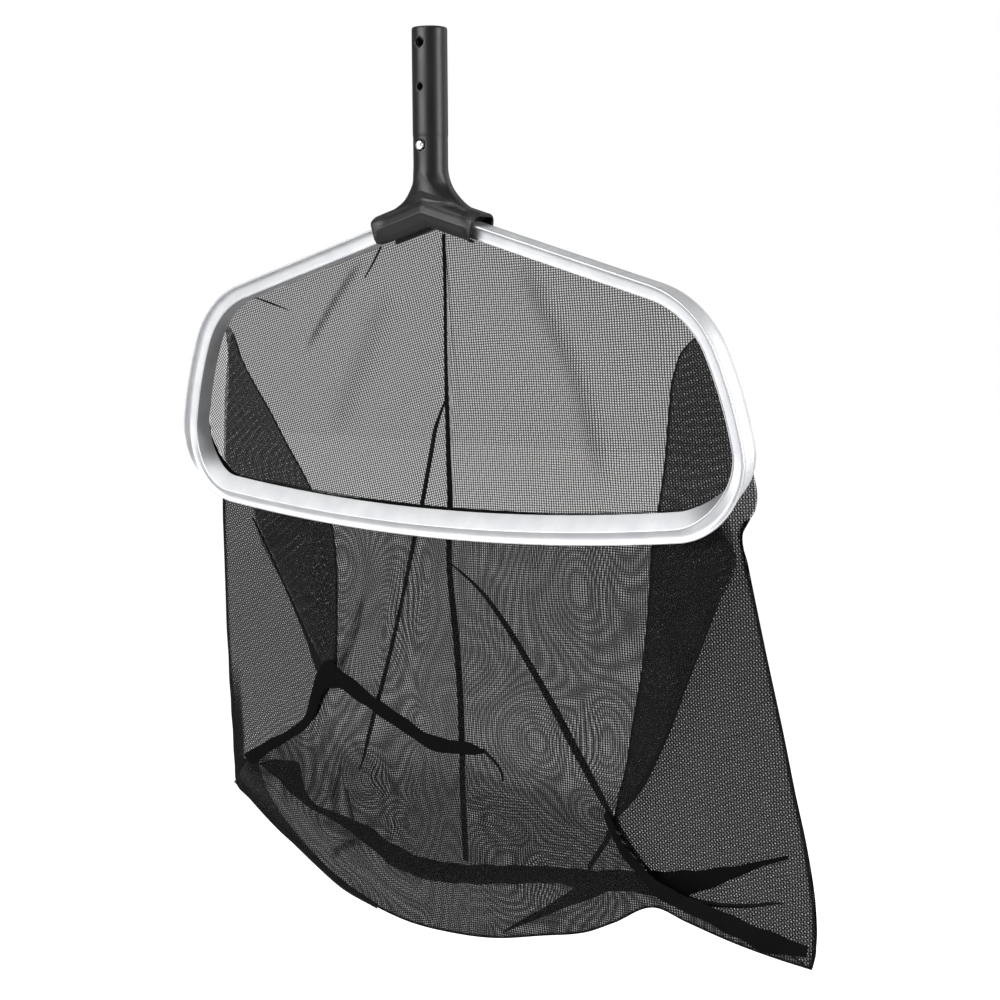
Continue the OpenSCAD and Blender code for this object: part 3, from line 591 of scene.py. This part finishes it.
def crease(x, fall, route, width):
    """How near each point is to a soft crease: exp(-(d/width)^2) for the distance d to the
    route, fading to 0 over the crease's ends."""
    line = flow(route, 60)
    best, at = np.full(x.shape, 1e9), np.zeros(x.shape)
    for (a, b), s in zip(zip(line[:-1], line[1:]), np.linspace(0, 1, 60)):
        along = b - a
        t = np.clip(((x - a[0]) * along[0] + (fall - a[1]) * along[1]) / (along @ along), 0, 1)
        d = np.hypot(x - a[0] - t * along[0], fall - a[1] - t * along[1])
        near = d < best
        best, at = np.where(near, d, best), np.where(near, s, at)
    return np.minimum(1, np.minimum(at, 1 - at) * 6) * np.exp(-((best / width) ** 2))


def creased(creases, x, fall, depth, shut):
    """A panel's depth and how closed it is, with each crease (route, width, depth, closing) in."""
    for route, width, deep, close in creases:
        near = crease(x, fall, route, width)
        depth, shut = depth + deep * near, shut + close * near
    return depth, shut


def pair_rows(line):
    """The rows (x1, fall1, x2, fall2) of both edges of a line given by (x, fall, width)."""
    p = np.asarray(line, float)
    side, half = square_to(p[:, :2]), p[:, 2:] / 2
    return np.column_stack([p[:, :2] - side * half, p[:, :2] + side * half])


def tuck(rows, depth, lift=1.6):
    """A doubled fold on a panel: a low ridge between the two edges that rows gives, lifted clear
    of the panel. Returns points, UVs and how closed the net is, which is wholly."""
    edges = flow(rows, 4 * len(rows) + 20)
    c = np.linspace(0, 1, 7)[None, :, None]
    flat = edges[:, None, :2] * (1 - c) + edges[:, None, 2:] * c
    x, fall = flat[..., 0], flat[..., 1]
    high = depth(x, fall) - lift - 1.4 * (4 * c * (1 - c))[..., 0]
    return place_cloth(x, fall, high), np.stack([x, fall], -1), np.ones(x.shape)


def cloth(name, node, grids, flip=False):
    """One piece of net from several grids of (points, uv, closed)."""
    points, faces, loops, shut, base = [], [], [], [], 0
    for grid, uv, closed in grids:
        quad = quads(*grid.shape[:2])
        quad = quad[:, ::-1] if flip else quad
        points.append(grid.reshape(-1, 3))
        loops.append(uv.reshape(-1, 2)[quad.reshape(-1)])
        faces.append(quad + base)
        shut.append(np.clip(closed, -0.2, 1).reshape(-1))
        base += len(points[-1])
    mesh = smooth_mesh(name, np.concatenate(points), np.concatenate(faces).tolist(),
                       np.concatenate(loops))
    stored = mesh.attributes.new("closed", "FLOAT", "POINT")
    stored.data.foreach_set("value", np.concatenate(shut).astype(np.float32))
    return piece(mesh, net, "net_mesh", node)


def sewn(stations, out, back):
    """Rows (x, fall, depth) of where net is sewn to the rim, out and back from its stations."""
    x, depth, z = along_hoop(stations, np.array([[out, back]]))[:, 0].T
    return np.column_stack([x, APEX - z, depth])


def panel(top, left, right):
    """A panel's x and fall: the patch between its top edge, the smooth lines of its left and
    right edges, and the foot. Returns those two lines as well."""
    left, right = flow([top[0]] + left, ROWS), flow([top[-1]] + right, ROWS)
    grid = patch(top, flow(FOOT, COLUMNS), left, right)
    return grid[..., 0], grid[..., 1], left, right


print("depth of the bag at 400 mm",
      round(float(back_depth(0, 400.) - front_depth(0, 400.)), 1), "mm")

# %% [markdown]
# ## The back panel
# The widest sheet hangs from both top bars down to the foot. It is a patch between its hem on
# the hoop, its two outer folds and the curve of the foot. The net left of the middle seam was
# sewn on a slant, so its threads lean. Soft creases shift the sheet, and hard ones are tucks,
# where the net lies doubled.
# %% Back panel
LEFT_OUTER = [(-249, 131), (-254, 160), (-258, 182), (-263, 232), (-266, 262), (-266, 313),
              (-266, 388), (-264, 445), (-262, 523)]
RIGHT_OUTER = [(250, 122), (257, 150), (265, 178), (273, 200), (276, 217), (275, 226), (269, 237),
               (264, 247), (269, 268), (284, 329), (301, 398), (310, 439), (319, 477), (327, 525),
               (328, 553), (325, 573)]
SEAM_ROUTE = [(2, 20, 3.6), (1, 73, 3.3), (-2, 133, 3.7), (-3, 155, 4.4), (-4, 194, 4.9),
              (-4, 239, 5.9), (-6, 290, 6.0), (0, 357, 6.8), (3, 400, 6.6), (4, 443, 6.4),
              (4, 486, 6.2), (6, 548, 6.0)]
LEFT_TUCK = [(-5, 154, 1.4), (-12, 167, 2.7), (-18, 180, 4.0), (-22, 195, 4.5), (-28, 218, 4.5),
             (-34, 241, 4.5), (-43, 272, 4.5), (-56, 320, 4.0), (-69, 365, 4.1), (-83, 408, 4.5),
             (-91, 431, 4.5), (-100, 458, 4.1), (-106, 477, 2.7), (-110, 486, 1.2)]
RIGHT_TUCK = [(-6, 292, 1.2), (7, 300, 2.3), (24, 312, 3.6), (48, 337, 5.5), (74, 371, 6.4),
              (100, 408, 7.3), (112, 427, 7.7), (130, 454, 7.3), (142, 472, 6.2), (150, 485, 5.8),
              (146, 503, 4.6), (137, 517, 4.4), (128, 531, 4.4)]
LOW_TUCK = [(142, 529, 158, 539), (128, 540, 143, 549), (116, 549, 128, 558), (89, 570, 113, 565),
            (70, 583, 81, 583), (53, 595, 57, 596), (44, 602, 45, 603)]
CORNER_TUCK = [(-232, 493, -262, 502), (-230, 503, -261, 524), (-222, 523, -245, 536),
               (-198, 550, -209, 560), (-184, 561, -192, 569), (-156, 580, -162, 586),
               (-130, 593, -134, 600), (-90, 607, -92, 611)]
PINCHES = [[(-64, 29, 1.8), (-73, 42, 1.5), (-83, 55, 0.4)],
           [(-211, 71, 1.0), (-189, 77, 1.6), (-168, 83, 0.4)]]
BACK_CREASES = [([(-86, 40), (-118, 74), (-153, 117)], 3.0, -2.0, 0.2),
                ([(-55, 62), (-90, 120), (-128, 190)], 11, -2.5, 0.05),
                ([(72, 34), (95, 81), (120, 128), (134, 174), (145, 220)], 9, -3.0, 0.08),
                ([(-147, 575), (-135, 563), (-112, 551)], 3, -1.5, 0.4)]
LEFT_SLANT, RIGHT_SLANT = 0.26, 0.045      # radians that the threads lean beside the seam
SHOULDER_END = 74                          # the station of the hoop at which the hem ends
line = sewn(half_hoop(0.5)[:SHOULDER_END], SLOT_N + 1, 24.0)[:, :2]
hem = evenly(np.concatenate([line[::-1] * [-1, 1], line]), COLUMNS)
x, fall, left, right = panel(hem, LEFT_OUTER, RIGHT_OUTER)
bulge, shut = creased(BACK_CREASES, x, fall, 0 * x, 0 * x)
wave = (1.6 * np.sin(x / 47 + fall / 130) * np.sin(fall / 95)
        + 0.8 * np.sin(x / 29 - fall / 60 + 1.2)) * ease(fall / 160)
hung = back_depth(x, fall) + bulge + wave * ease((600 - fall) / 80)
seam_x = np.interp(fall, *np.array(SEAM_ROUTE)[:, 1::-1].T)
slant = np.where(x < seam_x, LEFT_SLANT, RIGHT_SLANT)
uv = np.stack([x * np.cos(slant) - fall * np.sin(slant),
               fall * np.cos(slant) + x * np.sin(slant)], -1)
shut[-1] = 1
for line in (left, right):
    shut += 0.9 * np.exp(-((x - line[:, None, 0]) / 2) ** 2) * (fall > BELOW_HOOP)
back = cloth("back_panel_net", "bag_back_panel", [
    (place_cloth(x, fall, hung), uv, shut),
    tuck(pair_rows(LEFT_TUCK), back_depth), tuck(pair_rows(RIGHT_TUCK), back_depth),
    tuck(LOW_TUCK, back_depth), tuck(CORNER_TUCK, back_depth, 1.2)]
    + [tuck(pair_rows(rows), back_depth) for rows in PINCHES])

# %% [markdown]
# ## The pleats
# Each gusset is a V of net. Its first leg starts at the back panel's outer fold and runs in to
# the inner fold, and its second runs out again, to the hoop's side higher up and to the front
# panel lower down. Rows follow the fold down, columns go round the V. The threads of each leg lie
# at their own slant, because the pleat was folded out of a straight cloth.
# %% Pleated gussets
SEAM, PLEAT_ROWS, LEG_COLUMNS = 0.35, 160, 48
# RAIL rows hold a station of the rim, the fall, and the x of the outer fold and of the inner one;
# FREE rows hold the fall and the x of the outer fold, of the inner one and of the free edge.
LEFT_RAIL = [(69, 104, 241, 237), (79, 124, 247, 230), (86, 150, 253, 215), (92, 172, 257, 200),
             (106, 200, 260, 182), (120, 222, 262, 165), (133, 240, 264, 151)]
LEFT_FREE = [(270, 266, 129, 211), (298, 266, 125, 194), (340, 266, 125, 168),
             (380, 266, 126, 143), (402, 265, 128, 131), (425, 265, 142, 142),
             (442, 264, 151, 153), (456, 264, 169, 172), (472, 263, 193, 196),
             (492, 263, 222, 226), (515, 262, 250, 254), (521, 262, 258, 261)]
RIGHT_RAIL = [(65, 97, 240, 232), (72, 112, 246, 216), (79, 129, 252, 209), (86, 150, 257, 205),
              (92, 173, 264, 202), (106, 200, 273, 199), (120, 222, 276, 196), (133, 240, 267, 194)]
RIGHT_FREE = [(262, 267, 190, 266), (299, 276, 188, 252), (358, 291, 182, 229),
              (408, 303, 173, 209), (440, 310, 168, 195), (466, 317, 161, 176),
              (482, 320, 160, 165), (500, 323, 172, 176), (520, 326, 187, 192),
              (533, 327, 208, 214), (548, 328, 252, 258), (562, 328, 300, 306),
              (571, 326, 320, 324)]


def pleat_rows(on_rail, free, sign):
    """Rows of (fall, outer x, fold x, edge x, edge depth, edge fall) down a gusset, whose edge is
    sewn to the rim's stations and then meets the front panel."""
    rows = []
    for station, fall, outer, fold in on_rail:
        edge_x, edge_fall, edge_y = sewn(rim_path[station:station + 1], SLOT_N, BINDING_BACK)[0]
        rows.append((fall, outer, fold, edge_x, edge_y, edge_fall))
    for fall, outer, fold, edge_x in free:
        edge_y = float(front_depth(sign * edge_x, fall)) + 1.5
        rows.append((fall, outer, fold, edge_x, edge_y, fall))
    return rows


def pleat(name, node, tables, sign, turn, tight, wide_fold=None):
    """Both legs of a pleat as one grid. Leg one goes from the outer fold to the inner one at the
    back panel's front, leg two from there to the edge at the front; each leg is straight in x and
    fall, and its depth bows. turn is the slant of each leg's threads in degrees, tight how far
    they have closed up within the hoop, and below it in the first leg and in the second, and
    wide_fold the falls between which the outer fold is doubled."""
    rows = flow(pleat_rows(*tables, sign), PLEAT_ROWS)
    fall, outer, fold, edge_x, edge_y, edge_fall = (rows[:, k, None] for k in range(6))
    rear = depth_of(BACK_PROFILE, fall) - SEAM - 0.6
    front = np.minimum(edge_y, rear - 0.9)
    middle = (rear + front) / 2
    s = np.linspace(0, 1, LEG_COLUMNS)[None]
    back_leg = place_cloth(outer + (fold - outer) * s, fall + 0 * s,
                           rear + (middle - rear) * s**3)
    t = s[:, 1:]
    front_leg = place_cloth(fold + (edge_x - fold) * t, fall + (edge_fall - fall) * t,
                            middle + (front - middle) * (1 - (1 - t) ** 3))
    points = np.concatenate([back_leg, front_leg], 1)
    u, v = points[..., 0], -points[..., 2]
    first_leg = np.arange(points.shape[1]) < LEG_COLUMNS
    turned = [np.stack([u * np.cos(a) + v * np.sin(a), v * np.cos(a) - u * np.sin(a)], -1)
              for a in np.radians(turn)]
    uv = np.where(first_leg[None, :, None], *turned)
    below = np.where(first_leg, tight[1], tight[2])
    shut = (tight[0] + (below - tight[0]) * ease((fall - 215) / 60)
            + 0.7 * np.exp(-((u - fold) / 1.6) ** 2)
            + np.exp(-((u - outer) / 1.6) ** 2) * (fall > BELOW_HOOP))
    if wide_fold:
        doubled = ease((fall - wide_fold[0]) / 70) * (fall < wide_fold[1])
        shut = shut + 0.7 * doubled * ease((16 - (outer - u)) / 5) * first_leg
    points[..., 0] *= sign
    return cloth(name, node, [(points, uv, shut)], flip=sign < 0)


left_gusset = pleat("left_gusset_net", "bag_left_gusset", (LEFT_RAIL, LEFT_FREE), -1, (55, 35),
                    (-0.11, -0.09, -0.19), wide_fold=(400, 520))
right_gusset = pleat("right_gusset_net", "bag_right_gusset", (RIGHT_RAIL, RIGHT_FREE), 1,
                     (-43, -22), (-0.12, 0.07, -0.10))

# %% [markdown]
# ## The front panel
# The front sheet is sewn to the leading bar's binding. It draws in to the two points where the
# pleats cross, spreads again to the foot, where it meets the back, and bellies forward a little.
# Its threads wander against those of the back, and each place where the wander peaks is the
# middle of a set of moire rings, so the UV map carries those peaks.
# %% Front panel
FRONT_LEFT = [(-212, 266), (-172, 332), (-143, 383), (-130, 404), (-142, 426), (-153, 442),
              (-172, 458), (-196, 473), (-226, 493), (-262, 522)]
FRONT_RIGHT = [(265, 256), (251, 303), (231, 353), (210, 407), (185, 452), (166, 474), (174, 497),
               (192, 520), (214, 534), (258, 548), (306, 562), (325, 572)]
LEFT_A_TUCK = [(-213, 267, 1.6), (-172, 332, 2.6), (-150, 370, 5.0), (-136, 395, 10.0),
               (-128, 405, 11.0)]
RIGHT_A_TUCK = [(252, 301, 1.6), (231, 353, 2.4), (210, 407, 3.4), (186, 453, 4.5), (170, 472, 5.0)]
HOOK_TUCK = [(203, 536, 9.0), (230, 539, 5.5), (242, 538, 4.0), (276, 532, 3.0), (296, 526, 1.6),
             (303, 525, 0.5)]
CURL_TUCK = [(41, 440, 3.6), (53, 448, 2.7), (59, 454, 2.3), (62, 463, 0.8)]
FRONT_CREASES = [([(-122, 402), (-110, 384), (-100, 366), (-93, 346), (-88, 322)], 3.4, 2.0, 0.3),
                 ([(-112, 476), (-118, 496), (-125, 516)], 1.8, 1.0, 0.35),
                 ([(-106, 495), (-104, 510), (-98, 525)], 1.8, 1.0, 0.35)]
RINGS = [(-8, 300, 26, 48, -20), (86, 422, 34, 34, 19), (158, 414, 20, 38, -11),
         (-12, 425, 20, 18, -14), (-83, 485, 20, 20, 14), (61, 498, 32, 16, -15),
         (-38, 519, 22, 18, -13), (129, 299, 34, 52, 19), (152, 474, 26, 24, 14),
         (-160, 426, 26, 40, 18), (115, 537, 40, 28, -18), (-67, 344, 24, 46, 17),
         (37, 366, 24, 30, -10), (-110, 300, 26, 40, -14)]       # x, fall, wide, tall, high
LEFT_REACH, RIGHT_REACH = 206, 256         # how far the panel is sewn to the leading bar
line = sewn(rim_path, SLOT_N, 26.5)[-110:, :2]
top = np.concatenate([line[line[:, 0] < LEFT_REACH] * [-1, 1],
                      line[(line[:, 0] < RIGHT_REACH) & (line[:, 1] > 200)][-2::-1]])
x, fall, _, _ = panel(evenly(top, COLUMNS), FRONT_LEFT, FRONT_RIGHT)
belly = 4 * np.sin(np.pi * np.clip((fall - 250) / 300, 0, 1)) * np.cos(x / 170)
wave = (1.2 * np.sin(x / 31 + fall / 70) + 0.8 * np.sin(fall / 36 - x / 90)) * ease(
    (fall - 260) / 80) * ease((560 - fall) / 60)
depth = front_depth(x, fall) - belly + wave
peaks = sum(h * np.exp(-((x - a) / w) ** 2 - ((fall - b) / t) ** 2) for a, b, w, t, h in RINGS)
slant = 0.036 + 0.172 / (1 + np.exp(x / 9))
u = (1.14 * x * np.cos(slant) - fall * np.sin(slant) + 1.25 * peaks
     + 2.5 * np.sin(x / 17 + fall / 33))
v = (1.01 * fall * np.cos(slant) + x * np.sin(slant) + 0.25 * peaks
     + 1.5 * np.sin(fall / 21 - x / 50))
shut = 0.24 * ease((fall - 430) / 60) - 0.05 * ease((fall - 525) / 45) - 0.06
depth, shut = creased(FRONT_CREASES, x, fall, depth, shut)
shut[-1] = 1
front_panel = cloth("front_panel_net", "bag_front_panel", [
    (place_cloth(x, fall, depth), np.stack([u, v], -1), shut)] + [
    tuck(pair_rows(rows), deep, lift) for rows, deep, lift in [
        (LEFT_A_TUCK, front_depth, 2.2), (RIGHT_A_TUCK, front_depth, 2.2),
        (CURL_TUCK, front_depth, 4.5), (HOOK_TUCK, back_depth, 2.5)]])

# %% [markdown]
# ## Seam tapes
# Twill tape covers the seam down the middle of the back, the hem above the foot, and the two
# bound seams that end in the corners. A tape that is folded over spreads or narrows, so each is
# given by its two edges, row by row, and a crumple gathers it a little.
# %% Tapes
HEM = [(-214, 493, -227, 499), (-197, 491, -213, 507), (-181, 490, -201, 513),
       (-175, 508, -188, 522), (-164, 524, -174, 529), (-135, 530, -144, 537),
       (-97, 537, -106, 551), (-72, 547, -83, 563), (-50, 552, -61, 570), (-27, 553, -33, 572),
       (2, 551, 2, 568), (55, 542, 55, 558), (92, 536, 94, 550), (132, 531, 128, 548),
       (171, 524, 170, 542), (214, 516, 210, 539), (241, 509, 238, 526), (269, 500, 266, 510),
       (287, 493, 284, 499), (306, 486, 306, 489)]
LEFT_BAND = [(-223, 484, -213, 492), (-195, 467, -187, 474), (-169, 453, -163, 459),
             (-152, 440, -145, 446), (-143, 419, -134, 425), (-137, 398, -126, 411),
             (-122, 385, -114, 408), (-104, 394, -101, 412), (-78, 407, -81, 420),
             (-56, 417, -62, 428), (-36, 425, -40, 436), (-13, 434, -16, 446), (4, 436, 1, 448),
             (25, 435, 25, 446), (43, 439, 43, 443)]
RIGHT_BAND = [(162, 471, 157, 475), (170, 486, 165, 490), (179, 499, 173, 503),
              (189, 511, 181, 517), (199, 523, 189, 534), (215, 529, 199, 542),
              (233, 532, 218, 547), (252, 536, 240, 552), (277, 541, 264, 559),
              (302, 546, 288, 565), (327, 550, 323, 561)]
TAPE_T, TAPE_ROWS = 0.8, 260


def ribbon(name, node, rows, depth, lift, crumple=1.0):
    """A tape between two edges: the section is a flattened ring (half width cos a |cos a|^-0.4,
    t/2 sin a) about the middle of the tape, lifted off the panel whose depth is given."""
    edges = flow(rows, TAPE_ROWS)
    middle, half = (edges[:, :2] + edges[:, 2:]) / 2, (edges[:, 2:] - edges[:, :2]) / 2
    run = lengths(middle)
    a = np.linspace(0, 2 * np.pi, 16, endpoint=False)
    flat = np.sign(np.cos(a)) * np.abs(np.cos(a)) ** 0.6
    ruffle = 1 + 0.06 * crumple * np.sin(run / 5.1)[:, None, None]
    at = middle[:, None] + half[:, None] * flat[None, :, None] * ruffle
    high = (depth(at[..., 0], at[..., 1]) - lift + TAPE_T / 2 * np.sin(a)
            + crumple * 0.6 * np.sin(run / 7.3)[:, None] * flat)
    points = place_cloth(at[..., 0], at[..., 1], high)
    girth = np.linspace(0, 4 * float(np.linalg.norm(half, axis=1).max()), len(a) + 1)
    piece(tube(name, points, run, girth), tape, "seam_tape", node)


ribbon("centre_tape", "centre_seam_tape", pair_rows(SEAM_ROUTE), back_depth, 3.4, crumple=0.0)
ribbon("hem_tape", "bottom_hem_tape", HEM, back_depth, 4.2)
ribbon("left_corner_binding", "left_corner_tape", LEFT_BAND, front_depth, 6.5)
ribbon("right_corner_binding", "right_corner_tape", RIGHT_BAND, front_depth, 3.5)

# %% [markdown]
# ## The strip behind the yoke
# A strip of webbing, held by four screws and washers, clamps the bag's free top edge against the
# yoke's back. It is bent in the middle to follow both arms.
# %% Hem strip
STRIP_X, STRIP_Z, STRIP_Y, STRIP_W, STRIP_T = 44.8, -104.63, 15.3, 16.0, 1.2
x = np.linspace(-STRIP_X, STRIP_X, 121)
soft = np.sqrt(x**2 + 4.0) - 2.0
line = np.column_stack([x, STRIP_Z - soft * SLOPE_TAN])
side = -square_to(line)
section = rounded([[-STRIP_W / 2, 0], [STRIP_W / 2, 0], [STRIP_W / 2, STRIP_T],
                   [-STRIP_W / 2, STRIP_T]], [0.5] * 4)
points = np.stack([line[:, None, 0] + side[:, None, 0] * section[:, 0],
                   np.broadcast_to(STRIP_Y + section[:, 1], (len(x), len(section))),
                   line[:, None, 1] + side[:, None, 1] * section[:, 0]], -1)
piece(tube("hem_strip", points, lengths(line), round_lengths(section), flip=True), tape,
      "seam_tape", "yoke_hem_strip")

print("four sheets of net")

# %% [markdown]
# ## The studio
# A product on white needs a pale floor, a white surround and broad, soft light, from above, in
# front and the right, with a weak fill behind. The surround is plain white to the camera, and
# lights the piece at little more than a third of that, so that black plastic keeps its dark
# edges. The floor glows towards its rim, so that it meets the surround without a line.
# %% Floor, surround and lamps
scene = bpy.context.scene
scene.view_settings.view_transform = "Standard"
FLOOR_Z, FLOOR_HALF, WORLD_LIGHT = -0.99, 6, 0.36
corners = [(-1, -1), (1, -1), (1, 1), (-1, 1)]
floor_mesh = bpy.data.meshes.new("floor")
floor_mesh.from_pydata([(FLOOR_HALF * x, FLOOR_HALF * y, FLOOR_Z) for x, y in corners], [],
                       [(0, 1, 2, 3)])
link("floor", floor_mesh)
paper, tree, shader = new_material("white_paper_floor", {
    "Base Color": linear("#f4f4f4"), "Roughness": 0.9, "Specular IOR Level": 0.1})
camera_ray = add(tree, "LightPath").outputs["Is Camera Ray"]
away = add(tree, "VectorMath", {0: add(tree, "TexCoord").outputs["Object"]}, operation="LENGTH")
lift = add(tree, "MapRange", {"Value": away, "From Min": 1.0, "From Max": 4.5,
                              "To Min": 0.32, "To Max": 0.74})
glow = add(tree, "Emission", {"Strength": lift})
seen = add(tree, "MixShader", {0: camera_ray, 2: glow})
both = add(tree, "AddShader", {0: shader, 1: seen})
plug(tree.nodes["Material Output"], {"Surface": both})
floor_mesh.materials.append(paper)

scene.world = bpy.data.worlds.new("white_surround")
scene.world.use_nodes = True
tree = scene.world.node_tree
path = add(tree, "LightPath").outputs
clear = add(tree, "Math", {0: path["Is Camera Ray"], 1: path["Is Transmission Ray"]},
            operation="MAXIMUM")
level = add(tree, "MapRange", {"Value": clear, "To Min": WORLD_LIGHT, "To Max": 1.0})
plug(tree.nodes["Background"], {"Color": (1, 1, 1, 1), "Strength": level})
MIDDLE = np.array([0.0, 0.0, -0.3])
for name, place, wide, tall, watts in (("top_softbox", (-0.3, -0.5, 1.5), 1.4, 1.4, 20),
                                       ("front_softbox", (-0.55, -1.75, 0.35), 1.4, 1.0, 56),
                                       ("side_softbox", (1.95, 0.3, 0.2), 0.7, 1.3, 50),
                                       ("rear_fill", (0.8, 1.9, 0.35), 1.6, 1.8, 10)):
    lamp = bpy.data.lights.new(name, "AREA")
    lamp.shape, lamp.size, lamp.size_y, lamp.energy = "RECTANGLE", wide, tall, watts
    aim(name, lamp, place, place - MIDDLE, up=(0, 0.01, 1))
print("floor at", FLOOR_Z, "m")
